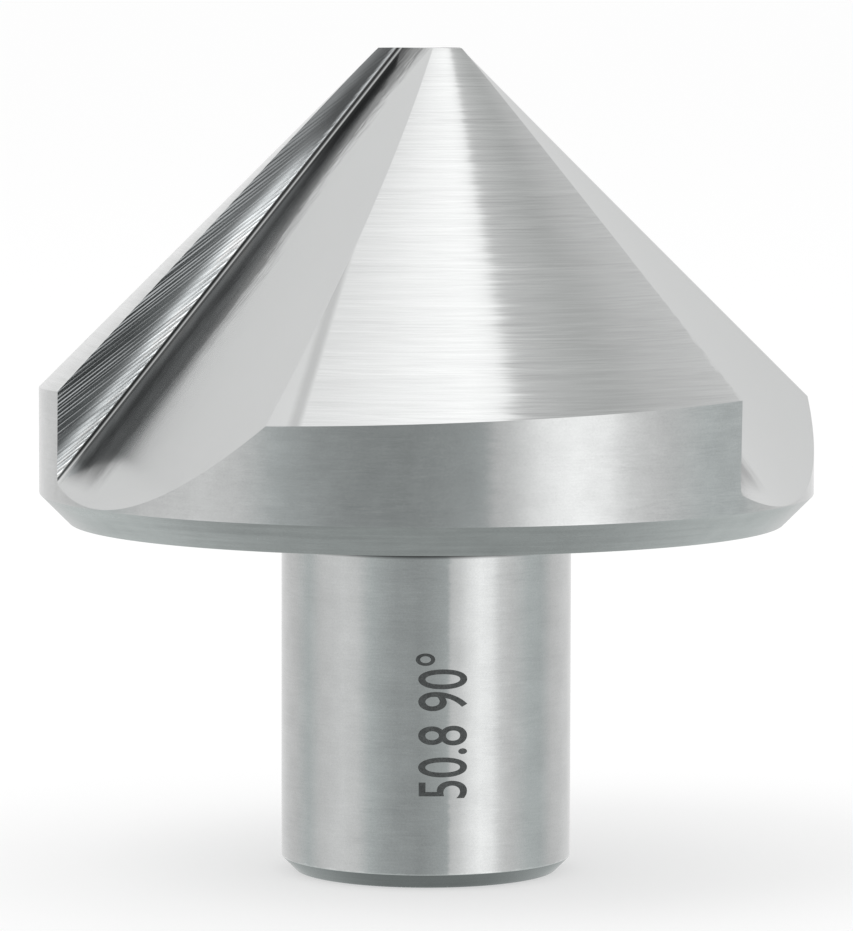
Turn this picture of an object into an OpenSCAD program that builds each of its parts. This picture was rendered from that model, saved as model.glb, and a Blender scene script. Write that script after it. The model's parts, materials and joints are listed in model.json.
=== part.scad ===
// Three-flute countersink with a straight shank, ground from one blank of tool steel.
// It stands on its shank: the origin is the centre of the shank's end face, and +Z
// runs up the axis to the tip. It cuts when it turns clockwise, seen from the shank.

/* [Head] */
// Diameter of the cutting head
head_d = 50.8; // [38:0.1:63]
// Angle of the seat that the cutting edges make
point_angle = 90; // [82:1:100]
// Diameter across the cutting edges at the flat tip
tip_d = 7; // [5:0.1:9]
// Height of the straight band, from the rim chamfer up to the cone at a cutting edge
band_h = 7.15; // [5:0.05:10]
// Chamfer round the lower rim of the head
rim_chamfer = 1.95; // [0.5:0.05:3]

/* [Lands] */
// Number of cutting edges
flute_count = 3; // [2:1:3]
// Angle that a land spans round the band, from its cutting edge back to its heel
land_angle = 74.5; // [65:0.5:85]
// How far the top of the band drops from the cutting edge to the heel
land_drop = 1.1; // [0.2:0.05:1.6]

/* [Flutes] */
// Distance from the axis to the root of a flute, at the tip
root_tip_r = 1.6; // [1.2:0.05:2]
// Height above the rim chamfer at which the root of a flute leaves the band
root_exit_h = 1.2; // [1:0.05:3]
// How far the root of a flute passes behind the axis
root_lag = 0.6; // [0:0.05:1.2]
// Angle by which the cutting face leans out over the flute
rake_angle = 2; // [0:0.5:10]
// Fillet along the root of a flute
root_fillet_r = 0.45; // [0.2:0.05:1]
// Radius of the shallow hollow across the back of a flute
back_hollow_r = 95; // [70:5:300]
// Turn of the cutting edges about the axis, from the front
edge_turn = 51.5; // [0:0.5:119]

/* [Shank] */
// Diameter of the shank
shank_d = 19.05; // [12:0.05:25.4]
// Length of the shank, from its end to the underside of the head
shank_l = 23.05; // [15:0.05:60]
// Chamfer at the end of the shank
shank_chamfer = 0.95; // [0.3:0.05:2]
// Fillet in the corner between the shank and the head
neck_fillet_r = 0.5; // [0.2:0.05:1]

/* [Centre hole] */
// Diameter of the centre hole at its mouth
centre_mouth_d = 6.7; // [4.5:0.1:8]
// Diameter of the centre hole's straight pilot
centre_pilot_d = 3.15; // [1.6:0.05:4]
// Depth of the pilot below the taper
centre_pilot_l = 3; // [1:0.1:5]
// Angle of the centre hole's taper
centre_angle = 60; // [60:30:90]

/* [Hidden] */
$fn = 180;

// Clearance by which a cutter runs past the blank, so that no skin is left
over = 1;
// Flats that make up the fillet along a flute's root, and the hollow across its back
fillet_steps = 8;
hollow_steps = 20;

head_r = head_d / 2;
tip_r = tip_d / 2;
shank_r = shank_d / 2;
half_angle = point_angle / 2;

// Heights up the axis
band_z = shank_l + rim_chamfer;
edge_z = band_z + band_h;
heel_z = edge_z - land_drop;
tip_z = edge_z + (head_r - tip_r) / tan(half_angle);

// The root of a flute is a straight line from near the axis at the tip out to the band
root_z = band_z + root_exit_h;
root_slope = atan2(head_r - root_tip_r, tip_z - root_z);

// A flute's section lies square to its root: x runs round the axis, y away from it
root_y = head_r * cos(root_slope) + root_z * sin(root_slope);
function section_point(turn, z) =
    [head_r * sin(turn) + root_lag, head_r * cos(turn) * cos(root_slope) + z * sin(root_slope) - root_y];

// The cutting edge meets the band where the leaning face does
edge_rise = (edge_z - root_z) * sin(root_slope);
edge_shift = asin((edge_rise * tan(rake_angle) - root_lag) / head_r);
flute_pitch = 360 / flute_count;
heel_point = section_point(flute_pitch - land_angle + edge_shift, heel_z);
face_angle = 90 - rake_angle;
face_way = [cos(face_angle), sin(face_angle)];
face_out = [sin(face_angle), -cos(face_angle)];

// The back is a shallow arc from the foot of the cutting face to the heel
heel_way = heel_point / norm(heel_point);
hollow_centre = heel_point / 2
    + sqrt(pow(back_hollow_r, 2) - pow(norm(heel_point) / 2, 2)) * [-heel_way.y, heel_way.x];
heel_angle = atan2(heel_point.y - hollow_centre.y, heel_point.x - hollow_centre.x);

// The root fillet touches the cutting face on one side and the hollow on the other
fillet_along = hollow_centre * face_way
    - sqrt(pow(back_hollow_r - root_fillet_r, 2) - pow(root_fillet_r - hollow_centre * face_out, 2));
fillet_centre = fillet_along * face_way + root_fillet_r * face_out;
fillet_from = atan2(fillet_centre.y - hollow_centre.y, fillet_centre.x - hollow_centre.x);
fillet_turn = 180 - (face_angle - fillet_from - 90);

// Each land is part of a cone whose own axis lies off to the side, ahead of the edge
land_offset = land_drop * tan(half_angle) / (2 * sin(land_angle / 2));
offset_turn = 90 - land_angle / 2;
edge_to_offset = sqrt(pow(head_r, 2) + pow(land_offset, 2) - 2 * head_r * land_offset * cos(offset_turn));
land_apex_z = edge_z + edge_to_offset / tan(half_angle);
// A land's cutter reaches this far into the flutes on both sides of the land
land_margin = (flute_pitch - land_angle) / 2 + 2;

// The shank and the head as they leave the lathe, with the head still a plain cylinder
module turned_blank() {
    neck_z = shank_l - neck_fillet_r;
    neck_r = shank_r + neck_fillet_r;
    difference() {
        rotate_extrude()
            polygon([
                [0, 0],
                [shank_r - shank_chamfer, 0],
                [shank_r, shank_chamfer],
                [shank_r, neck_z],
                [neck_r, shank_l],
                [head_r - rim_chamfer, shank_l],
                [head_r, band_z],
                [head_r, tip_z],
                [0, tip_z]
            ]);
        rotate_extrude()
            translate([neck_r, neck_z])
                circle(r = neck_fillet_r, $fn = 48);
    }
}

// The 60 degree hole that carries the shank's end while the head is ground
module centre_hole() {
    mouth_r = centre_mouth_d / 2;
    pilot_r = centre_pilot_d / 2;
    taper_l = (mouth_r - pilot_r) / tan(centre_angle / 2);
    pilot_end = taper_l + centre_pilot_l;
    rotate_extrude()
        polygon([
            [0, -over],
            [mouth_r + over * tan(centre_angle / 2), -over],
            [pilot_r, taper_l],
            [pilot_r, pilot_end],
            [0, pilot_end + pilot_r * tan(30)]
        ]);
}

// A wedge about the axis, from one turn to another, counted from the front
module wedge(from_turn, to_turn) {
    reach = 2 * head_d;
    middle = (from_turn + to_turn) / 2;
    linear_extrude(height = tip_z + 2 * over)
        polygon([
            [0, 0],
            [reach * sin(from_turn), -reach * cos(from_turn)],
            [reach * sin(middle), -reach * cos(middle)],
            [reach * sin(to_turn), -reach * cos(to_turn)]
        ]);
}

// What is ground away above one land, whose cutting edge is at the turn given
module land_cutter(edge) {
    top_z = tip_z + over;
    low_r = 2 * head_r;
    intersection() {
        wedge(edge - land_angle - land_margin, edge + land_margin);
        rotate(edge + offset_turn)
            translate([0, -land_offset, 0])
                rotate_extrude()
                    polygon([
                        [(land_apex_z - top_z) * tan(half_angle), top_z],
                        [low_r, land_apex_z - low_r / tan(half_angle)],
                        [low_r, top_z]
                    ]);
    }
}

// Points along an arc, from one angle through a turn
function arc(centre, r, from, turn, steps) =
    [for (i = [0 : steps]) centre + r * [cos(from + turn * i / steps), sin(from + turn * i / steps)]];

// The flute's section: out along the hollow back, over the part, and down the cutting face
module flute_section() {
    back_turn = 1.5 * (heel_angle - fillet_from);
    polygon(concat(
        arc(fillet_centre, root_fillet_r, fillet_from - fillet_turn, fillet_turn, fillet_steps),
        arc(hollow_centre, back_hollow_r, fillet_from + back_turn / hollow_steps,
            back_turn * (1 - 1 / hollow_steps), hollow_steps - 1),
        [
            [head_d, head_d],
            head_d * face_way
        ]
    ));
}

// One flute, in front of the cutting edge at the turn given
module flute(edge) {
    length = 3 * head_d;
    rotate(edge - edge_shift)
        rotate([180 - root_slope, 0, 0])
            translate([-root_lag, root_y, -length])
                linear_extrude(height = 2 * length)
                    flute_section();
}

module countersink_body() {
    color("silver")
        difference() {
            turned_blank();
            centre_hole();
            for (i = [0 : flute_count - 1]) {
                land_cutter(edge_turn + i * flute_pitch);
                flute(edge_turn + i * flute_pitch);
            }
        }
}

countersink_body();
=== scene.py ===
"""A three-flute countersink with a straight shank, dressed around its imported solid."""

import json
import math

import bmesh
import bpy
import numpy as np
from mathutils import Matrix, Vector


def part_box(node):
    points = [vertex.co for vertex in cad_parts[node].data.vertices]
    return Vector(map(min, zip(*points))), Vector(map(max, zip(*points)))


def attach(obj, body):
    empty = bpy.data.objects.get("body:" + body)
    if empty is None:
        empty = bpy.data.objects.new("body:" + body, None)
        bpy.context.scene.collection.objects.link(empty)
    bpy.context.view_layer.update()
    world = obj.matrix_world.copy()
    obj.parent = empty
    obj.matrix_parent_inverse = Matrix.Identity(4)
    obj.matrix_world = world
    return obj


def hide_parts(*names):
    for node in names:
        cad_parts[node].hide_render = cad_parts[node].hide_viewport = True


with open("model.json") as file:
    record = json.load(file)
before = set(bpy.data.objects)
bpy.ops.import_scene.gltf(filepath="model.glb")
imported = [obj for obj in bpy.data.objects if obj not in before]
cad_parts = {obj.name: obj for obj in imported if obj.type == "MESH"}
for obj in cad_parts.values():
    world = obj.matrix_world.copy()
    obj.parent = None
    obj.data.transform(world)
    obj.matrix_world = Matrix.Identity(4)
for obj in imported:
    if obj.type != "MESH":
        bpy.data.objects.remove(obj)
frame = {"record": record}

MM = 0.001
TAU = math.tau
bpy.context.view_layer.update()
_, node_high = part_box("countersink_body")
shank_mount = next(m for m in frame["record"]["mounts"] if m["name"] == "shank")

# Sizes in millimetres, as the solid has them
head_r = node_high[0] / MM
tip_z = node_high[2] / MM
shank_r = shank_mount["dims"]["r_mm"]
half_angle = math.radians(45)
tip_r = 3.5
rim_chamfer = 1.95
flute_count = 3
land_angle = math.radians(74.5)
land_drop = 1.1
edge_turn = math.radians(51.5)
shank_l = 23.05
shank_chamfer = 0.95
neck_fillet_r = 0.5
root_tip_r = 1.6
root_exit_h = 1.2
root_lag = 0.6
rake_angle = math.radians(2)
back_hollow_r = 95
# How far the flute's cutter runs on past the heel, as a share of the back
back_reach = 1.5
# The centre hole tapers to its pilot, which ends in a cone of the same slope
centre_mouth_r = 3.35
centre_pilot_r = 1.575
centre_pilot_l = 3
centre_slope = math.tan(math.radians(30))
# The wheel's rounded corner leaves a wide soft curve at the foot of a cutting face
foot_r = 3.2
foot_turn = math.radians(5)
root_fillet_r = 0.4
# Shading curls the back up a little more as it nears the root
back_curl = math.radians(8)
curl_reach = 5
# The size mark: its words, where it starts and ends, and how it is drawn
mark_words = "50.8 90\u00b0"
mark_z = (5.95, 15.35)
mark_turns = (math.radians(-4), math.radians(16.2))
mark_weight = 0.005
mark_proud = 0.012
# Broken corners of the turned shape
corner_r = 0.1
# How far a cutter runs past the blank, and a land's cutter past the land on both sides
over = 1
land_overlap = math.radians(2)
# Edges shorter than this are closed up
weld = 1e-4
# Steps round the axis, a corner, and the three curves of a flute's section
segments = 360
corner_steps = 5
foot_steps = 18
fillet_steps = 24
hollow_steps = 60
# Steps along a land's cutter, and out from its axis: close ones near the tip, then wider ones
land_steps = 124
land_core_r, land_core_steps = 4, 13
land_rim_r, land_rim_steps = 1.3 * head_r, 47
mark_strips = 24

flute_pitch = TAU / flute_count
band_z = shank_l + rim_chamfer
edge_z = tip_z - (head_r - tip_r) / math.tan(half_angle)
heel_z = edge_z - land_drop

# A flute's root is a straight line, and its section lies square to it
root_z = band_z + root_exit_h
root_slope = math.atan2(head_r - root_tip_r, tip_z - root_z)
root_y = head_r * math.cos(root_slope) + root_z * math.sin(root_slope)


def section_point(turn, z):
    """Where a point of the head's rim lies in a flute's section."""
    return np.array([
        head_r * math.sin(turn) + root_lag,
        head_r * math.cos(turn) * math.cos(root_slope) + z * math.sin(root_slope) - root_y,
    ])


def way(angle):
    """The direction of an angle in a flute's section."""
    return np.array([math.cos(angle), math.sin(angle)])


edge_rise = (edge_z - root_z) * math.sin(root_slope)
edge_shift = math.asin((edge_rise * math.tan(rake_angle) - root_lag) / head_r)
heel_point = section_point(flute_pitch - land_angle + edge_shift, heel_z)
face_way = way(math.pi / 2 - rake_angle)
face_out = way(-rake_angle)

# The hollow back runs from the root to the heel
heel_reach = np.linalg.norm(heel_point)
heel_way = heel_point / heel_reach
hollow_rise = math.sqrt(back_hollow_r**2 - (heel_reach / 2) ** 2)
hollow_centre = heel_point / 2 + hollow_rise * np.array([-heel_way[1], heel_way[0]])
# The foot curve leaves the cutting face, and the fillet joins it to the hollow
foot_end = foot_turn - rake_angle
foot_to_fillet = foot_r * face_out - (foot_r - root_fillet_r) * way(foot_end)
foot_to_hollow = hollow_centre - foot_to_fillet
hollow_inset = back_hollow_r - root_fillet_r
foot_run = math.sqrt(hollow_inset**2 - (foot_to_hollow @ face_out) ** 2)
foot_start = foot_to_hollow @ face_way - foot_run
foot_centre = foot_start * face_way + foot_r * face_out
fillet_centre = foot_start * face_way + foot_to_fillet
fillet_to_hollow = hollow_centre - fillet_centre
fillet_end = math.atan2(fillet_to_hollow[1], fillet_to_hollow[0])
heel_to_hollow = hollow_centre - heel_point
heel_normal = math.atan2(heel_to_hollow[1], heel_to_hollow[0])

# Each land is part of a cone whose own axis stands off to the side
land_offset = land_drop * math.tan(half_angle) / (2 * math.sin(land_angle / 2))
offset_turn = math.pi / 2 - land_angle / 2
edge_to_offset = math.sqrt(
    head_r**2 + land_offset**2 - 2 * head_r * land_offset * math.cos(offset_turn)
)
land_apex_z = edge_z + edge_to_offset / math.tan(half_angle)
land_margin = (flute_pitch - land_angle) / 2 + land_overlap


# Nodes, for the shape and for the materials


class Nodes:
    """Places nodes in a tree and joins them."""

    def __init__(self, tree):
        self.tree = tree

    def feed(self, made, inputs):
        """Joins each input that is named to a socket, or sets it to a value."""
        for key, value in inputs.items():
            if isinstance(value, bpy.types.NodeSocket):
                self.tree.links.new(value, made.inputs[key])
            else:
                made.inputs[key].default_value = value

    def add(self, kind, inputs=None, **settings):
        made = self.tree.nodes.new(kind)
        for name, value in settings.items():
            setattr(made, name, value)
        self.feed(made, inputs or {})
        return made

    def group(self, tree, inputs):
        return self.add("ShaderNodeGroup", inputs, node_tree=tree).outputs

    def math(self, operation, *values, clamp=False):
        made = self.add("ShaderNodeMath", dict(enumerate(values)), operation=operation)
        made.use_clamp = clamp
        return made.outputs[0]

    def vector(self, operation, *values):
        made = self.add("ShaderNodeVectorMath", dict(enumerate(values)), operation=operation)
        return made.outputs[0]

    def scaled(self, vector, by):
        made = self.add("ShaderNodeVectorMath", {0: vector, "Scale": by}, operation="SCALE")
        return made.outputs[0]

    def split(self, vector):
        return self.add("ShaderNodeSeparateXYZ", {"Vector": vector}).outputs

    def joined(self, x, y, z):
        return self.add("ShaderNodeCombineXYZ", {"X": x, "Y": y, "Z": z}).outputs[0]

    def noise(self, vector, scale, detail, roughness=0.5):
        inputs = {"Vector": vector, "Scale": scale, "Detail": detail, "Roughness": roughness}
        return self.add("ShaderNodeTexNoise", inputs).outputs["Fac"]

    def step(self, value, low, high):
        """A smooth rise from 0 at low to 1 at high."""
        inputs = {"Value": value, "From Min": low, "From Max": high}
        made = self.add("ShaderNodeMapRange", inputs, interpolation_type="SMOOTHSTEP")
        return made.outputs["Result"]

    def mix(self, factor, a, b):
        made = self.add("ShaderNodeMix", {0: factor}, data_type="RGBA")
        colours = [i for i, socket in enumerate(made.inputs) if socket.type == "RGBA"]
        self.feed(made, dict(zip(colours, (a, b))))
        return next(socket for socket in made.outputs if socket.type == "RGBA")

    def ramp(self, value, stops):
        made = self.add("ShaderNodeValToRGB", {"Fac": value})
        elements = made.color_ramp.elements
        while len(elements) < len(stops):
            elements.new(0.5)
        for element, (place, colour) in zip(elements, stops):
            element.position = place
            element.color = (*colour, 1)
        return made.outputs["Color"]

    def table(self, value, rows):
        """Looks a value up in rows of places and brightnesses, straight between the rows."""
        first, last, most = rows[0][0], rows[-1][0], max(bright for _, bright in rows)
        span = last - first
        share = self.math("MULTIPLY_ADD", value, 1 / span, -first / span, clamp=True)
        stops = [((place - first) / span, (bright / most,) * 3) for place, bright in rows]
        read = self.add("ShaderNodeSeparateColor", {"Color": self.ramp(share, stops)})
        return self.math("MULTIPLY", read.outputs[0], most)

    def surface(self, shader):
        self.add("ShaderNodeOutputMaterial", {"Surface": shader.outputs[0]})


def emptied(owner):
    """Clears the nodes of a material or a world, so that they can be placed afresh."""
    owner.use_nodes = True
    owner.node_tree.nodes.clear()
    return Nodes(owner.node_tree)


# Meshes


def linked(name, data):
    """An object of the scene, made of a mesh, text, camera or lamp."""
    made = bpy.data.objects.new(name, data)
    bpy.context.scene.collection.objects.link(made)
    return made


def mesh_object(name, bm):
    """An object with the mesh that was built, facing outwards."""
    bmesh.ops.recalc_face_normals(bm, faces=bm.faces)
    mesh = bpy.data.meshes.new(name)
    bm.to_mesh(mesh)
    bm.free()
    return linked(name, mesh)


def add_face(bm, *corners):
    """Adds a face, whose corners may fall together on the axis."""
    bm.faces.new(list(dict.fromkeys(corners)))


def spot(r, turn, z):
    """A point from its radius, its turn from the front and its height."""
    return r * math.sin(turn), -r * math.cos(turn), z


def rounded(points, radii):
    """The corners of a profile, each cut back by its radius and rounded."""
    path = []
    for i, (corner, radius) in enumerate(zip(points, radii)):
        here = np.array(corner, float)
        if not radius:
            path.append(here)
            continue
        back = np.array(points[i - 1], float) - here
        on = np.array(points[i + 1], float) - here
        back /= np.linalg.norm(back)
        on /= np.linalg.norm(on)
        half = math.acos(np.clip(back @ on, -1, 1)) / 2
        middle = (back + on) / np.linalg.norm(back + on)
        centre = here + middle * radius / math.sin(half)
        start = here + back * radius / math.tan(half) - centre
        end = here + on * radius / math.tan(half) - centre
        turn = math.atan2(start[0] * end[1] - start[1] * end[0], start @ end)
        for k in range(corner_steps + 1):
            a = turn * k / corner_steps
            path.append(centre + np.array([
                start[0] * math.cos(a) - start[1] * math.sin(a),
                start[0] * math.sin(a) + start[1] * math.cos(a),
            ]))
    return path


def turned_blank():
    """The shape that leaves the lathe, with its centre hole and a plain head."""
    taper_l = (centre_mouth_r - centre_pilot_r) / centre_slope
    pilot_end = taper_l + centre_pilot_l
    corners = [
        ((0, pilot_end + centre_pilot_r * centre_slope), 0),
        ((centre_pilot_r, pilot_end), 0),
        ((centre_pilot_r, taper_l), corner_r),
        ((centre_mouth_r, 0), corner_r),
        ((shank_r - shank_chamfer, 0), corner_r),
        ((shank_r, shank_chamfer), corner_r),
        ((shank_r, shank_l), neck_fillet_r),
        ((head_r - rim_chamfer, shank_l), corner_r),
        ((head_r, band_z), corner_r),
        ((head_r, tip_z), 0),
        ((0, tip_z), 0),
    ]
    path = rounded([corner for corner, _ in corners], [radius for _, radius in corners])
    bm = bmesh.new()
    rings = []
    for r, z in path:
        turns = [TAU * k / segments for k in range(segments)] if r else [0]
        rings.append([bm.verts.new(spot(r, turn, z)) for turn in turns])
    for low, high in zip(rings, rings[1:]):
        for k in range(segments):
            add_face(bm, low[k % len(low)], low[(k + 1) % len(low)],
                     high[(k + 1) % len(high)], high[k % len(high)])
    return mesh_object("blank", bm)


def land_centre(edge):
    """Where the axis of a land's cone stands, for the cutting edge at the turn given."""
    return np.array(spot(land_offset, edge + offset_turn, 0)[:2])


def land_cutter():
    """What the wheel takes off above one land, whose cutting edge is at turn 0."""
    turns = np.linspace(-land_angle - land_margin, land_margin, land_steps + 1)
    radii = np.concatenate([
        np.linspace(0, land_core_r, land_core_steps + 1),
        np.linspace(land_core_r, land_rim_r, land_rim_steps + 1)[1:],
    ])
    centre = land_centre(0)
    bm = bmesh.new()

    def column(r, turn):
        x, y, top = spot(r, turn, tip_z + over)
        z = land_apex_z - math.hypot(x - centre[0], y - centre[1]) / math.tan(half_angle)
        return bm.verts.new((x, y, z)), bm.verts.new((x, y, top))

    axis = column(0, 0)
    grid = [[axis if r == 0 else column(r, turn) for r in radii] for turn in turns]
    for here, there in zip(grid, grid[1:]):
        for j in range(len(radii) - 1):
            for side in (0, 1):
                add_face(bm, here[j][side], there[j][side], there[j + 1][side], here[j + 1][side])
        add_face(bm, here[-1][0], there[-1][0], there[-1][1], here[-1][1])
    for line in (grid[0], grid[-1]):
        for a, b in zip(line, line[1:]):
            add_face(bm, a[0], b[0], b[1], a[1])
    return mesh_object("land_cutter", bm)


def flute_section():
    """The outline of one flute, from the cutting face round the root and out along the back."""
    back_turn = back_reach * (heel_normal - fillet_end)
    curves = [
        (foot_centre, foot_r, np.linspace(-rake_angle, foot_end, foot_steps + 1)),
        (fillet_centre, root_fillet_r, np.linspace(foot_end, fillet_end, fillet_steps + 1)[1:]),
        (hollow_centre, back_hollow_r,
         [fillet_end + back_turn * k / hollow_steps for k in range(1, hollow_steps + 1)]),
    ]
    points = [centre - radius * way(a) for centre, radius, angles in curves for a in angles]
    far = 2 * head_r
    return points + [np.array([far, far]), far * face_way]


def flute_place(edge):
    """Moves a flute's section and run to the cutting edge at the turn given."""
    return (
        Matrix.Rotation(edge - edge_shift, 4, "Z")
        @ Matrix.Rotation(math.pi - root_slope, 4, "X")
        @ Matrix.Translation((-root_lag, root_y, 0))
    )


def flute_cutter():
    """What the wheel takes off in one flute, whose cutting edge is at turn 0."""
    length = 6 * head_r
    outline = flute_section()
    bm = bmesh.new()
    low, high = [[bm.verts.new((*p, z)) for p in outline] for z in (-length, length)]
    for k in range(len(outline)):
        after = (k + 1) % len(outline)
        add_face(bm, low[k], low[after], high[after], high[k])
    add_face(bm, *low)
    add_face(bm, *reversed(high))
    bmesh.ops.transform(bm, matrix=flute_place(0), verts=bm.verts)
    return mesh_object("flute_cutter", bm)


def ground_head_tree():
    """Grinds the lands and the flutes into the blank, once for each cutting edge."""
    tree = bpy.data.node_groups.new("ground_head", "GeometryNodeTree")
    for name, kind in (
        ("Blank", "Geometry"), ("Land cutter", "Object"), ("Flute cutter", "Object"),
        ("Cutting edges", "Int"), ("First edge", "Float"), ("Weld", "Float"),
        ("Finish", "Material"),
    ):
        tree.interface.new_socket(name, in_out="INPUT", socket_type=f"NodeSocket{kind}")
    tree.interface.new_socket("Body", in_out="OUTPUT", socket_type="NodeSocketGeometry")
    nodes = Nodes(tree)
    given, made = nodes.add("NodeGroupInput").outputs, nodes.add("NodeGroupOutput")
    start, end = nodes.add("GeometryNodeRepeatInput"), nodes.add("GeometryNodeRepeatOutput")
    start.pair_with_output(end)
    nodes.feed(start, {"Iterations": given["Cutting edges"], "Geometry": given["Blank"]})

    share = nodes.math("DIVIDE", start.outputs["Iteration"], given["Cutting edges"])
    turn = nodes.math("MULTIPLY_ADD", share, TAU, given["First edge"])
    about_axis = nodes.joined(0, 0, turn)
    body = start.outputs["Geometry"]
    for cutter in ("Land cutter", "Flute cutter"):
        tool = nodes.add("GeometryNodeObjectInfo", {"Object": given[cutter]})
        placed = nodes.add("GeometryNodeTransform", {
            "Geometry": tool.outputs["Geometry"], "Rotation": about_axis,
        })
        cut = nodes.add("GeometryNodeMeshBoolean", {
            "Mesh 1": body, "Mesh 2": placed.outputs["Geometry"],
        }, operation="DIFFERENCE", solver="MANIFOLD")
        body = cut.outputs["Mesh"]
    nodes.feed(end, {"Geometry": body})

    # The cuts leave slivers along some edges, which are closed up here
    body = end.outputs["Geometry"]
    for kind, inputs, settings in (
        ("GeometryNodeMergeByDistance", {"Distance": given["Weld"]}, {"mode": "CONNECTED"}),
        ("GeometryNodeRealizeInstances", {}, {}),
        ("GeometryNodeSetMaterial", {"Material": given["Finish"]}, {}),
    ):
        body = nodes.add(kind, {"Geometry": body, **inputs}, **settings).outputs["Geometry"]
    nodes.feed(made, {"Body": body})
    return tree


def plain_mesh(made):
    """An object's mesh as it stands, with its modifiers worked in."""
    bpy.context.view_layer.update()
    evaluated = made.evaluated_get(bpy.context.evaluated_depsgraph_get())
    return bpy.data.meshes.new_from_object(evaluated)


def run_tree(made, tree, values):
    """Runs a node tree on an object, with its named inputs, and returns a plain mesh."""
    modifier = made.modifiers.new(tree.name, "NODES")
    modifier.node_group = tree
    for socket in tree.interface.items_tree:
        if socket.name in values:
            modifier[socket.identifier] = values[socket.name]
    mesh = plain_mesh(made)
    made.modifiers.clear()
    return mesh


# Surfaces of the ground head, to give each face its finish and its exact normals

# A surface reads points, and gives for each one how far it lies off the surface, the surface's
# normal there and its place on the piece's grid. On what turns about the axis, the grid counts
# degrees of turn and height. In a flute, it counts the way along the root and across from it

# The gap given past the end of a surface, and how far past its end a surface is still read:
# the flat face in mm, and a curve in radians
beyond = 9
face_slack, curve_slack = 0.01, 0.02
# A land is read from this far ahead of its cutting edge, in radians
land_lead = 0.3
# How many mm a face is taken to be off a surface that it stands square to
square_off = 0.5
# A face this far off every surface is part of the turned shape
most_off = 0.05
# How far under its radius the shank's surface is still read
shank_slack = 0.02
sharp_angle = math.radians(30)


def turn_of(p):
    return np.arctan2(p[:, 0], -p[:, 1])


def turned_grid(p):
    return np.column_stack([np.degrees(turn_of(p)), p[:, 2]])


def land_surface(edge):
    centre = land_centre(edge)

    def read(p):
        off = p[:, :2] - centre
        reach = np.linalg.norm(off, axis=1)
        gap = (reach - (land_apex_z - p[:, 2]) * math.tan(half_angle)) * math.cos(half_angle)
        normal = np.column_stack([off / reach[:, None] * math.cos(half_angle),
                                  np.full(len(p), math.sin(half_angle))])
        behind = np.degrees((edge - turn_of(p) + land_lead) % TAU - land_lead)
        return gap, normal, np.column_stack([behind, p[:, 2]])

    return read


def flute_surfaces(edge):
    place = np.array(flute_place(edge))
    back = np.linalg.inv(place)

    def in_flute(p):
        local = p @ back[:3, :3].T + back[:3, 3]
        return local[:, :2], local[:, 2]

    def on_piece(gap, normal, along, across):
        normal = np.column_stack([normal, np.zeros(len(normal))]) @ place[:3, :3].T
        return gap, normal, np.column_stack([along, across])

    def face(p):
        flat, along = in_flute(p)
        across = flat @ face_way
        gap = np.where(across < foot_start - face_slack, beyond, flat @ face_out)
        return on_piece(gap, np.tile(face_out, (len(p), 1)), along, across)

    def curve(centre, radius, low, high, up_face, out_back, leaning=0.0):
        """An arc of the section. Across counts the ways up the face and out along the back."""

        def read(p):
            flat, along = in_flute(p)
            to = centre - flat
            reach = np.linalg.norm(to, axis=1)
            angle = np.arctan2(to[:, 1], to[:, 0])
            inside = (angle > low - curve_slack) & (angle < high + curve_slack)
            gap = np.where(inside, reach - radius, beyond)
            curl = -leaning * np.exp(-np.maximum(flat[:, 0], 0) / curl_reach)
            n = to / reach[:, None]
            n = np.column_stack([n[:, 0] * np.cos(curl) - n[:, 1] * np.sin(curl),
                                 n[:, 0] * np.sin(curl) + n[:, 1] * np.cos(curl)])
            return on_piece(gap, n, along, up_face * (flat @ face_way) - out_back * flat[:, 0])

        return read

    past_heel = heel_normal + 1
    return [
        ("rake", face),
        ("rake", curve(foot_centre, foot_r, -rake_angle, foot_end, 1, 0)),
        ("root", curve(fillet_centre, root_fillet_r, foot_end, fillet_end, 1, 1)),
        ("back", curve(hollow_centre, back_hollow_r, fillet_end, past_heel, 0, 1, back_curl)),
    ]


def band_surface(p):
    reach = np.hypot(p[:, 0], p[:, 1])
    normal = np.column_stack([p[:, :2] / reach[:, None], np.zeros(len(p))])
    return np.where(p[:, 2] > band_z, reach - head_r, beyond), normal, turned_grid(p)


def tip_surface(p):
    return p[:, 2] - tip_z, np.tile([0.0, 0.0, 1.0], (len(p), 1)), turned_grid(p)


def read_all(items, attribute, width=1, kind=float):
    """One attribute of many items, in rows where it holds more than one number."""
    values = np.empty(len(items) * width, kind)
    items.foreach_get(attribute, values)
    return values.reshape(-1, width) if width > 1 else values


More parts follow.
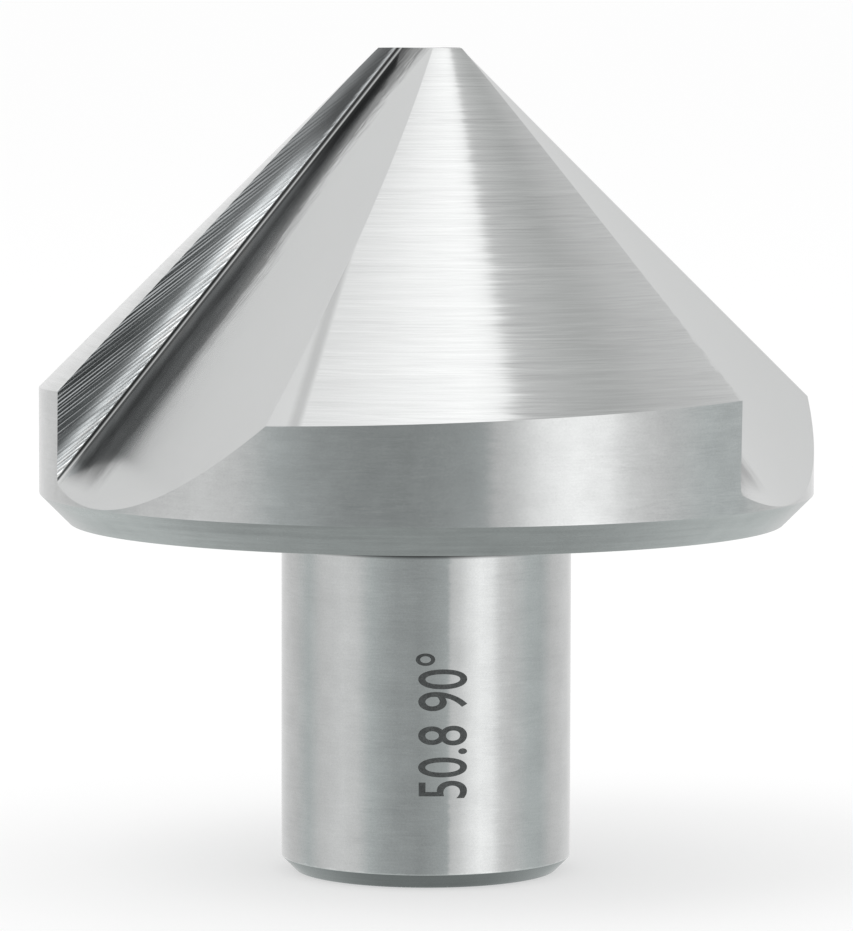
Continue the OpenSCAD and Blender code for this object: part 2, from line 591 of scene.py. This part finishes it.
def dress_head(mesh, slots):
    """Gives each face its material and the piece its grid, and returns its exact normals."""
    centre = read_all(mesh.polygons, "center", 3)
    facing = read_all(mesh.polygons, "normal", 3)
    surfaces = [("band", band_surface), ("tip", tip_surface)]
    for k in range(flute_count):
        edge = edge_turn + k * flute_pitch
        surfaces += [("land", land_surface(edge)), *flute_surfaces(edge)]
    misses = []
    for _, read in surfaces:
        gap, normal, _ = read(centre)
        misses.append(np.abs(gap) + square_off * (1 - np.sum(normal * facing, axis=1)))
    misses = np.array(misses)
    best = misses.argmin(axis=0)
    height, outer = centre[:, 2], np.hypot(centre[:, 0], centre[:, 1])
    turned = (misses.min(axis=0) > most_off) | (height < band_z)

    corner_vert = read_all(mesh.loops, "vertex_index", kind=np.int32)
    corners = read_all(mesh.vertices, "co", 3)[corner_vert]
    totals = read_all(mesh.polygons, "loop_total", kind=np.int32)
    corner_face = np.repeat(np.arange(len(totals)), totals)
    mesh.shade_smooth()
    mesh.set_sharp_from_angle(angle=sharp_angle)
    normals = np.array([n.vector[:] for n in mesh.corner_normals])
    grid = turned_grid(corners)
    for k, (_, read) in enumerate(surfaces):
        mine = ((best == k) & ~turned)[corner_face]
        if mine.any():
            _, normals[mine], grid[mine] = read(corners[mine])

    face_slot = np.array([slots[name] for name, _ in surfaces], np.int32)[best]
    face_slot[turned] = slots["turned"]
    on_shank = (height > shank_chamfer) & (height < shank_l - neck_fillet_r)
    face_slot[turned & on_shank & (outer > shank_r - shank_slack)] = slots["shank"]
    face_slot[turned & (height < shank_chamfer)] = slots["end"]
    mesh.polygons.foreach_set("material_index", face_slot)
    mesh.uv_layers.new(name="grid").data.foreach_set("uv", (grid * MM).ravel())
    return normals


def size_mark():
    """The size in plain numbers, reading up the shank and lying on its curve."""
    text = bpy.data.curves.new("size_mark", "FONT")
    text.body = mark_words
    text.size = 1.0
    text.offset = mark_weight
    # The thickness only tells the front from the back, until both are laid on the shank
    text.extrude = 0.5
    flat = linked("size_mark", text)
    mesh = plain_mesh(flat)
    bpy.data.objects.remove(flat)
    bm = bmesh.new()
    bm.from_mesh(mesh)
    bmesh.ops.remove_doubles(bm, verts=bm.verts, dist=weld)
    xs = [vert.co.x for vert in bm.verts]
    ys = [vert.co.y for vert in bm.verts]
    left, foot = min(xs), min(ys)
    length, height = max(xs) - left, max(ys) - foot
    for k in range(1, mark_strips):
        level = foot + height * k / mark_strips
        every = list(bm.verts) + list(bm.edges) + list(bm.faces)
        bmesh.ops.bisect_plane(bm, geom=every, dist=weld,
                               plane_co=(0, level, 0), plane_no=(0, 1, 0))
    bmesh.ops.triangulate(bm, faces=bm.faces)
    for vert in bm.verts:
        turn = mark_turns[1] + (mark_turns[0] - mark_turns[1]) * ((vert.co.y - foot) / height)
        z = mark_z[0] + (mark_z[1] - mark_z[0]) * ((vert.co.x - left) / length)
        vert.co = spot(shank_r + (mark_proud if vert.co.z > 0 else -mark_proud), turn, z)
    bmesh.ops.recalc_face_normals(bm, faces=bm.faces)
    bm.to_mesh(mesh)
    bm.free()
    mesh.transform(Matrix.Scale(MM, 4))
    return mesh


def finished(name, mesh):
    """Makes a piece of a mesh that is in metres, at the object's own scale and place."""
    mesh.name = name
    piece = linked(name, mesh)
    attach(piece, "root")
    return piece


# Materials


def shader_group(name, inputs, outputs):
    """A node group that reads a vector and the values named, and gives values."""
    tree = bpy.data.node_groups.new(name, "ShaderNodeTree")
    tree.interface.new_socket("Vector", in_out="INPUT", socket_type="NodeSocketVector")
    for label, default in inputs.items():
        socket = tree.interface.new_socket(label, in_out="INPUT", socket_type="NodeSocketFloat")
        socket.default_value = default
    for label in outputs:
        tree.interface.new_socket(label, in_out="OUTPUT", socket_type="NodeSocketFloat")
    nodes = Nodes(tree)
    return nodes, nodes.add("NodeGroupInput").outputs, nodes.add("NodeGroupOutput")


def grinding_group():
    """Fine scratches that run along X, from a coarse and a fine set of noise."""
    nodes, given, out = shader_group(
        "grinding", {"Pitch": 0.12, "Length": 8.0, "Patchiness": 0.5, "Evenness": 0.0}, ["Height"]
    )
    wide_share, mean, wander, depth = 0.6, 0.8, 4.0, 4.0
    place = nodes.split(given["Vector"])
    across = nodes.math("DIVIDE", place["Y"], given["Pitch"])
    lines = nodes.joined(
        nodes.math("DIVIDE", place["X"], given["Length"]),
        across,
        nodes.math("DIVIDE", place["Z"], given["Length"]),
    )
    fine = nodes.noise(lines, scale=1.0, detail=2.0, roughness=0.6)
    wide = nodes.noise(lines, scale=0.31, detail=1.0)
    patch = nodes.noise(lines, scale=0.07, detail=1.0)
    # The two sets together, about their mean, and an even wave that wanders with the patches
    both = nodes.math("SUBTRACT", nodes.math("MULTIPLY_ADD", wide, wide_share, fine), mean)
    bent = nodes.math("MULTIPLY_ADD", patch, wander, across)
    wave = nodes.math("SINE", nodes.math("MULTIPLY", bent, TAU))
    centred = nodes.math("ADD", both, nodes.math("MULTIPLY", wave, given["Evenness"]))
    # Some patches are scratched more deeply than others
    gain = nodes.math("MULTIPLY", given["Patchiness"], depth)
    strength = nodes.math("MULTIPLY_ADD", nodes.math("SUBTRACT", patch, 0.5), gain, 1.0)
    shown = nodes.math("MULTIPLY", centred, nodes.math("MAXIMUM", strength, 0.0))
    nodes.feed(out, {"Height": shown})
    return nodes.tree


def mottle_group():
    """The faint clouds and pits of a satin surface."""
    nodes, given, out = shader_group(
        "mottle", {"Cloud size": 3.0, "Grain size": 0.12}, ["Cloud", "Grain"]
    )
    for label, detail in (("Cloud", 3.0), ("Grain", 1.0)):
        scale = nodes.math("DIVIDE", 1.0, given[f"{label} size"])
        noise = nodes.noise(given["Vector"], scale, detail)
        nodes.feed(out, {label: nodes.math("SUBTRACT", noise, 0.5)})
    return nodes.tree


def edge_highlight_group():
    """A ragged painted highlight beside an edge, from how far a point lies from that edge."""
    nodes, given, out = shader_group("painted_edge_highlight", {"Distance": 0.0, "Width": 0.2}, ["Highlight"])
    raggedness, bare_from, lit_to = 3.0, 1.0, 0.2
    ragged = nodes.math("SUBTRACT", nodes.noise(given["Vector"], scale=1.6, detail=2.0), 0.5)
    share = nodes.math("DIVIDE", given["Distance"], given["Width"])
    share = nodes.math("MULTIPLY_ADD", ragged, -raggedness, share)
    nodes.feed(out, {"Highlight": nodes.step(share, bare_from, lit_to)})
    return nodes.tree


scratches, mottle, painted_edge_highlight = grinding_group(), mottle_group(), edge_highlight_group()
steel = (0.60, 0.607, 0.605)
# How much scratches and grain roughen steel
scratch_rough, grain_rough = 0.1, 0.04
# Brushed steel stretches its highlights a quarter turn away from the brushing
brush_turn = 0.25
# The streaks that lean a face, against its scratches
streak_pitch, streak_length = 2.3, 1.5
# Where the scratches stop beside a heel: how ragged the line is, and how far past it in mm the
# steel turns bare with a painted shade, and then paler
stop_ragged = 0.12
stop_bare = (-0.1, 0.4)
stop_pale = (0.55, 1.15)


def raised(nodes, share, floor):
    """Lifts a share that starts at 0, so that it starts at the floor."""
    return nodes.math("MULTIPLY_ADD", share, 1 - floor, floor)


def band_shade(nodes, along, across, rows, widen=None, squeeze=None, tip=None, ends=None):
    """Painted highlight and shade from rows across a flute, which change with the way along it.

    From one way along to another, widen moves the rows out, squeeze draws them in, tip goes
    over from rows of its own to the others, and ends fades all of them out.
    """
    lower = across
    if widen:
        by = nodes.step(along, *widen[:2])
        lower = nodes.math("MULTIPLY_ADD", by, -widen[2], across)
    if squeeze:
        by = nodes.math("MULTIPLY_ADD", nodes.step(along, *squeeze[:2]), squeeze[2], 1.0)
        lower = nodes.math("MULTIPLY", lower, by)
    shade = nodes.table(lower, rows)
    if tip:
        at_tip = nodes.table(across, tip[2])
        change = nodes.math("SUBTRACT", shade, at_tip)
        shade = nodes.math("MULTIPLY_ADD", change, nodes.step(along, *tip[:2]), at_tip)
    if ends:
        left = nodes.math("SUBTRACT", 1.0, shade)
        shade = nodes.math("MULTIPLY_ADD", nodes.step(along, *ends), left, shade)
    return shade


def steel_material(name, roughness, pitch, tone, bump, colour=steel, length=8.0, rings=0.0,
                   grid_turn=None, evenness=0.0, brushed=0.0, sway=0.0, cloud=0.04,
                   cloud_size=3.0, speckle=0.05, fade=None, stop=None, edge_highlight=None,
                   jitter=0.0, bands=None):
    """Steel with scratches, whose pitch, length and bump are in mm.

    tone, cloud, speckle: how much scratches, clouds and grain change the brightness
    rings: how much the way out from the axis counts beside height, so flat faces have rings
    grid_turn: makes the scratches follow the piece's grid, turned by this much
    evenness: how strongly an even wave joins the scratches
    brushed, sway: how far the scratches stretch highlights, and how far they lean the face
    fade: from where to where along a flute the scratches come up, and from what share; the
    brightness drops with them, as painted shade toward the tip
    stop: degrees behind the cutting edge where they stop, and the painted shade past it and
    further on, as brightness
    edge_highlight: height of an edge given a painted highlight, or None for the cutting edge, and
    the highlight's width and strength
    jitter, bands: how far scratches move the bands of painted highlight and shade, and what
    band_shade is given
    """
    made = bpy.data.materials.new(name)
    nodes = emptied(made)
    in_mm = nodes.scaled(nodes.add("ShaderNodeTexCoord").outputs["Object"], 1 / MM)
    place = nodes.split(in_mm)
    uv = nodes.add("ShaderNodeUVMap", uv_map="grid").outputs["UV"]
    grid_mm = nodes.scaled(uv, 1 / MM)
    grid = nodes.split(grid_mm)
    squares = [nodes.math("POWER", place[axis], 2.0) for axis in "XY"]
    reach = nodes.math("SQRT", nodes.math("ADD", *squares))
    if grid_turn is None:
        up = nodes.math("MULTIPLY_ADD", reach, -rings, place["Z"])
        lines = nodes.joined(place["X"], up, place["Y"])
        across = place["Z"]
    else:
        turned = {"Vector": grid_mm, "Rotation": (0, 0, grid_turn)}
        lines = nodes.add("ShaderNodeMapping", turned).outputs[0]
        across = grid["Y"]
    relief = nodes.group(scratches, {
        "Vector": lines, "Pitch": pitch, "Length": length, "Evenness": evenness,
    })["Height"]
    clouds = nodes.group(mottle, {"Vector": in_mm, "Cloud size": cloud_size})
    if fade:
        shown = raised(nodes, nodes.step(grid["X"], *fade[:2]), fade[2])
        relief = nodes.math("MULTIPLY", relief, shown)
    if stop:
        past = nodes.math("MULTIPLY_ADD", grid["X"], math.radians(1), -math.radians(stop[0]))
        past = nodes.math("MULTIPLY", past, reach)
        past = nodes.math("MULTIPLY_ADD", relief, stop_ragged, past)
        bare, pale = nodes.step(past, *stop_bare), nodes.step(past, *stop_pale)
        relief = nodes.math("MULTIPLY", relief, nodes.math("SUBTRACT", 1.0, bare))

    level = 1.0
    for part, share in ((relief, tone), (clouds["Cloud"], cloud), (clouds["Grain"], speckle)):
        level = nodes.math("MULTIPLY_ADD", part, share, level)
    # Painted shade: darker where the scratches fade, toward the tip
    if fade:
        level = nodes.math("MULTIPLY", level, raised(nodes, shown, fade[2]))
    # Painted shade on the bare strip past the heel, then lighter further on
    if stop:
        level = nodes.math("MULTIPLY_ADD", bare, stop[1] - 1, level)
        level = nodes.math("MULTIPLY_ADD", pale, stop[2] - stop[1], level)
    # A painted highlight along an edge, brightening the colour beside it
    if edge_highlight:
        edge_z, width, strength = edge_highlight
        distance = grid["X"] if edge_z is None else nodes.math("SUBTRACT", place["Z"], edge_z)
        lit_edge = nodes.group(painted_edge_highlight, {"Vector": in_mm, "Distance": distance, "Width": width})
        level = nodes.math("MULTIPLY_ADD", lit_edge["Highlight"], strength, level)
    # Bands of painted highlight and shade across a flute
    if bands:
        across = nodes.math("MULTIPLY_ADD", relief, jitter, across)
        level = nodes.math("MULTIPLY", level, band_shade(nodes, grid["X"], across, **bands))

    rough = nodes.math("MULTIPLY_ADD", relief, scratch_rough, roughness)
    rough = nodes.math("MULTIPLY_ADD", clouds["Grain"], grain_rough, rough, clamp=True)
    facing = nodes.add("ShaderNodeNewGeometry").outputs["Normal"]
    if sway:
        # The scratches lean the face a little, along the turn of the tool
        streaks = nodes.group(scratches, {
            "Vector": lines, "Pitch": streak_pitch * pitch, "Length": streak_length * length,
        })
        around = nodes.vector("NORMALIZE", nodes.vector("CROSS_PRODUCT", in_mm, (0, 0, 1)))
        lean = nodes.math("MULTIPLY", nodes.math("ADD", streaks["Height"], relief), sway)
        facing = nodes.vector("ADD", facing, nodes.scaled(around, lean))
        facing = nodes.vector("NORMALIZE", facing)
    bumped = nodes.add("ShaderNodeBump", {
        "Height": relief, "Strength": 1.0, "Distance": bump * MM, "Normal": facing,
    })
    inputs = {
        "Base Color": nodes.scaled(colour, level), "Roughness": rough, "Metallic": 1.0,
        "Normal": bumped.outputs[0],
    }
    if brushed:
        inputs |= {"Anisotropic": brushed, "Anisotropic Rotation": brush_turn}
    nodes.surface(nodes.add("ShaderNodeBsdfPrincipled", inputs))
    return made


def mark_material():
    """The dark oxide that a marking laser leaves, a little uneven."""
    made = bpy.data.materials.new("laser_mark")
    nodes = emptied(made)
    oxide = (0.085, 0.09, 0.09)
    unevenness = 0.8
    in_mm = nodes.scaled(nodes.add("ShaderNodeTexCoord").outputs["Object"], 1 / MM)
    clouds = nodes.group(mottle, {"Vector": in_mm, "Cloud size": 0.5})
    level = nodes.math("MULTIPLY_ADD", clouds["Grain"], unevenness, 1.0)
    level = nodes.math("MULTIPLY_ADD", clouds["Cloud"], unevenness, level)
    bumped = nodes.add("ShaderNodeBump", {
        "Height": clouds["Grain"], "Strength": 1.0, "Distance": 0.02 * MM,
    })
    nodes.surface(nodes.add("ShaderNodeBsdfPrincipled", {
        "Base Color": nodes.scaled(oxide, level), "Roughness": 0.55, "Metallic": 0.4,
        "Normal": bumped.outputs[0],
    }))
    return made


# Camera, floor and light, in metres


def camera():
    """The photo's viewpoint: a long lens, a little above the tool and looking down on it."""
    tilt, roll = math.radians(4.879), 0.0022
    place = (0, -0.37747, 0.05888)
    sensor, focal_px, picture_px = 36, 5765, 931
    right, up = Vector((1, 0, 0)), Vector((0, math.sin(tilt), math.cos(tilt)))
    ahead = Vector((0, math.cos(tilt), -math.sin(tilt)))
    across = right * math.cos(roll) + up * math.sin(roll)
    high = up * math.cos(roll) - right * math.sin(roll)
    data = bpy.data.cameras.new("camera")
    data.sensor_fit = "VERTICAL"
    data.sensor_height = sensor
    data.lens = sensor * focal_px / picture_px
    made = linked("camera", data)
    turn = Matrix((across, high, -ahead)).transposed().to_4x4()
    made.matrix_world = Matrix.Translation(place) @ turn
    bpy.context.scene.camera = made


# The studio as the steel sees it, as brightness by azimuth in degrees from the front: level,
# and raised
level_ring = [
    (-180, 0.84), (-150, 0.80), (-128, 0.74), (-108, 0.66), (-92, 0.80), (-70, 0.92),
    (-57, 0.86), (-45, 0.63), (-35, 0.50), (-24, 0.40), (-6, 0.355), (5, 0.42), (13, 0.49),
    (17.5, 0.56), (19.5, 0.80), (27, 0.98), (34, 1.24), (44, 1.48), (54, 1.34), (62, 0.98),
    (72, 0.80), (90, 0.66), (104, 0.62), (120, 0.75), (143, 0.84), (180, 0.84),
]
raised_ring = [
    (-180, 0.94), (-140, 0.97), (-100, 0.95), (-75, 0.85), (-55, 0.45), (-40, 0.18),
    (-20, 0.14), (10, 0.14), (22, 0.18), (26, 0.34), (31, 1.30), (38, 1.55), (55, 1.40),
    (64, 0.90), (90, 0.80), (130, 0.95), (180, 0.94),
]
# Overhead, as brightness by slant: how far a ray leans to the right for each unit that it rises
overhead = [
    (-1.2, 0.95), (-0.6, 1.10), (-0.35, 1.22), (-0.1, 1.46), (0.1, 1.58), (0.195, 1.52),
    (0.225, 0.80), (0.42, 0.68), (0.52, 0.61), (0.66, 0.74), (0.8, 0.80), (1.2, 0.92),
]
below_tone = (0.32, 0.34, 0.337, 1)
deep_tone = (0.193, 0.208, 0.205, 1)
# The brightness at which a ramp is full, and the one below which the studio is tinted
ramp_top = 2.0
tinted_below = 0.7
ring_tint = (0.94, 1, 1)
overhead_tint = (0.985, 1, 0.99)
# The least rise by which a slant is reckoned
least_rise = 0.05


def studio():
    """What lights the tool: only the steel's reflections see the studio, all else sees white."""
    world = bpy.data.worlds.new("studio")
    bpy.context.scene.world = world
    nodes = emptied(world)
    ray = nodes.split(nodes.add("ShaderNodeTexCoord").outputs["Generated"])
    azimuth = nodes.math("ARCTAN2", ray["X"], nodes.math("MULTIPLY", ray["Y"], -1.0))
    turn = nodes.math("MULTIPLY_ADD", azimuth, 1 / TAU, 0.5)
    slant = nodes.math("DIVIDE", ray["X"], nodes.math("MAXIMUM", ray["Z"], least_rise))
    widest = overhead[-1][0]
    lean = nodes.math("MULTIPLY_ADD", slant, 1 / (2 * widest), 0.5, clamp=True)

    def tones(share, rows, tint):
        low, span = rows[0][0], rows[-1][0] - rows[0][0]
        return nodes.ramp(share, [
            ((place - low) / span,
             [bright / ramp_top * (c if bright < tinted_below else 1) for c in tint])
            for place, bright in rows
        ])

    # Each layer takes over from the ones before, between two heights of the ray
    seen = tones(turn, level_ring, ring_tint)
    for low, high, layer in (
        (-0.02, 0.16, tones(turn, raised_ring, ring_tint)),
        (0.45, 0.66, tones(lean, overhead, overhead_tint)),
        (-0.14, -0.50, below_tone),
        (-0.62, -1.0, deep_tone),
    ):
        seen = nodes.mix(nodes.step(ray["Z"], low, high), seen, layer)
    steel_sees = nodes.add("ShaderNodeBackground", {"Color": seen, "Strength": ramp_top})
    plain = nodes.add("ShaderNodeBackground", {"Color": (1, 1, 1, 1), "Strength": 1.0})
    glossy = nodes.add("ShaderNodeLightPath").outputs["Is Glossy Ray"]
    mixed = nodes.add("ShaderNodeMixShader", {
        0: glossy, 1: plain.outputs[0], 2: steel_sees.outputs[0],
    })
    nodes.add("ShaderNodeOutputWorld", {"Surface": mixed.outputs[0]})


def floor():
    """A wide pale disc just under the tool, seen only from above and not by reflections."""
    floor_r, gap = 30, 0.05 * MM
    pale_tone, glow_share = 0.97, 0.5
    bm = bmesh.new()
    bmesh.ops.create_circle(bm, cap_ends=True, radius=floor_r, segments=64,
                            matrix=Matrix.Translation((0, 0, -gap)))
    mesh = bpy.data.meshes.new("floor")
    bm.to_mesh(mesh)
    bm.free()
    made = linked("floor", mesh)
    material = bpy.data.materials.new("floor")
    nodes = emptied(material)
    pale = nodes.add("ShaderNodeBsdfDiffuse", {"Color": (pale_tone, pale_tone, pale_tone, 1)})
    glow = nodes.add("ShaderNodeEmission", {"Color": (1, 1, 1, 1), "Strength": 1.0})
    seen = nodes.add("ShaderNodeLightPath").outputs["Is Camera Ray"]
    share = nodes.math("MULTIPLY", seen, glow_share)
    mixed = nodes.add("ShaderNodeMixShader", {0: share, 1: pale.outputs[0], 2: glow.outputs[0]})
    below = nodes.add("ShaderNodeNewGeometry").outputs["Backfacing"]
    clear = nodes.add("ShaderNodeBsdfTransparent")
    nodes.surface(nodes.add("ShaderNodeMixShader", {
        0: below, 1: mixed.outputs[0], 2: clear.outputs[0],
    }))
    mesh.materials.append(material)
    made.visible_glossy = False


def lamp():
    """A wide soft lamp overhead on the left, which gives the tool its shadow."""
    place = Vector((-0.35, -0.3, 0.9))
    data = bpy.data.lights.new("key", "AREA")
    data.shape = "DISK"
    data.size = 0.6
    data.energy = 1.2
    made = linked("key", data)
    made.location = place
    made.rotation_euler = place.to_track_quat("Z", "Y").to_euler()
    made.visible_glossy = False
    made.visible_camera = False


# The scene

camera()
studio()
floor()
lamp()

# What finishes have in common: fresh from the lathe, and ground round
lathe = {
    "roughness": 0.24, "pitch": 0.12, "tone": 0.3, "bump": 0.002,
    "cloud": 0.16, "speckle": 0.16, "cloud_size": 1.5,
}
ground_round = {"pitch": 0.1, "bump": 0.001, "length": 1.1, "brushed": 0.9}
# Painted shade: the dark line under the head, by height
shank_rows = [(21.40, 1.0), (21.5, 0.6), (21.58, 0.22), (22.6, 0.3)]
# Painted highlights and shade in bands across each flute, by the way up the cutting face and out
# along the back: a bright streak at the foot of the cutting face, light and dark lines in the
# root, and a dark painted reflection beside the root on the back
rake_rows = [(0.0, 3.3), (0.35, 3.3), (0.6, 2.0), (1.0, 1.0)]
rake_tip_rows = [
    (0.0, 3.4), (0.3, 3.2), (0.5, 0.75), (0.85, 0.7), (1.15, 1.0), (1.45, 1.3), (2.0, 1.3),
]
root_rows = [(-0.5, 0.12), (-0.2, 0.12), (-0.13, 0.62), (-0.05, 0.62), (0.01, 0.17), (0.4, 0.3)]
back_rows = [
    (-4.8, 1.0), (-4.3, 0.88), (-3.8, 0.73), (-3.33, 0.43), (-2.4, 0.46), (-1.9, 0.33),
    (-1.43, 0.2), (-0.95, 0.18), (0.0, 0.18),
]
# The shank's chamfer edge, the band's lower edge and each cutting edge get a painted highlight
finishes = {
    "turned": steel_material("turned_steel", rings=1.37, **lathe),
    "shank": steel_material(
        "ground_shank", roughness=0.10, tone=0.12, sway=0.025, cloud=0.24, speckle=0.16,
        cloud_size=2.2, edge_highlight=(shank_chamfer, 0.12, 0.15), bands={"rows": shank_rows},
        **ground_round),
    "band": steel_material(
        "ground_band", roughness=0.18, tone=0.14, sway=0.02, cloud=0.2, speckle=0.14,
        cloud_size=1.6, edge_highlight=(band_z, 0.12, 0.04), **ground_round),
    "land": steel_material(
        "ground_land", roughness=0.16, pitch=0.09, length=4.0, tone=0.3, bump=0.002, brushed=0.95,
        sway=0.045, speckle=0.0, edge_highlight=(None, 1.0, 0.1), stop=(69.1, 0.74, 0.93)),
    # The cutting face's dark colour is painted shade, and it is darker still toward the tip
    "rake": steel_material(
        "ground_rake", colour=(0.29, 0.30, 0.305), roughness=0.12, grid_turn=math.radians(-14.5),
        pitch=0.2, length=40.0, tone=0.45, bump=0.013, evenness=0.12, cloud=0.4,
        fade=(-36, -22, 0.25), jitter=0.7,
        bands={"rows": rake_rows, "widen": (-38, -22, 0.55), "tip": (-34, -28, rake_tip_rows)}),
    "root": steel_material(
        "ground_root", roughness=0.12, grid_turn=0, pitch=0.1, length=30.0, tone=0.10,
        bump=0.001, jitter=0.03, bands={"rows": root_rows, "ends": (-6.5, -3)}),
    "back": steel_material(
        "ground_back", roughness=0.18, grid_turn=0, pitch=0.16, length=1.2, tone=0.03,
        bump=0.0005, cloud=0.02, jitter=1.5,
        bands={"rows": back_rows, "squeeze": (-20, -33, 0.65), "ends": (-5.6, -3.4)}),
    "tip": steel_material(
        "ground_tip", colour=(0.52, 0.527, 0.525), roughness=0.25, pitch=0.1, length=4.0,
        tone=0.2, bump=0.002, rings=1.0),
    # The shank's end is darker, as painted shade from standing close over the floor
    "end": steel_material("turned_end", colour=(0.34, 0.35, 0.35), **lathe),
}

blank, land_tool, flute_tool = turned_blank(), land_cutter(), flute_cutter()
body_mesh = run_tree(blank, ground_head_tree(), {
    "Land cutter": land_tool, "Flute cutter": flute_tool, "Cutting edges": flute_count,
    "First edge": edge_turn, "Weld": weld, "Finish": finishes["turned"],
})
for spare in (blank, land_tool, flute_tool):
    bpy.data.objects.remove(spare)
body_mesh.materials.clear()
for material in finishes.values():
    body_mesh.materials.append(material)
normals = dress_head(body_mesh, {name: k for k, name in enumerate(finishes)})
body_mesh.transform(Matrix.Scale(MM, 4))
body_mesh.normals_split_custom_set(normals.tolist())
body = finished("countersink", body_mesh)
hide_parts("countersink_body")

mark_mesh = size_mark()
mark_mesh.materials.clear()
mark_mesh.materials.append(mark_material())
finished("size_mark", mark_mesh)

bpy.context.scene.view_settings.view_transform = "Standard"
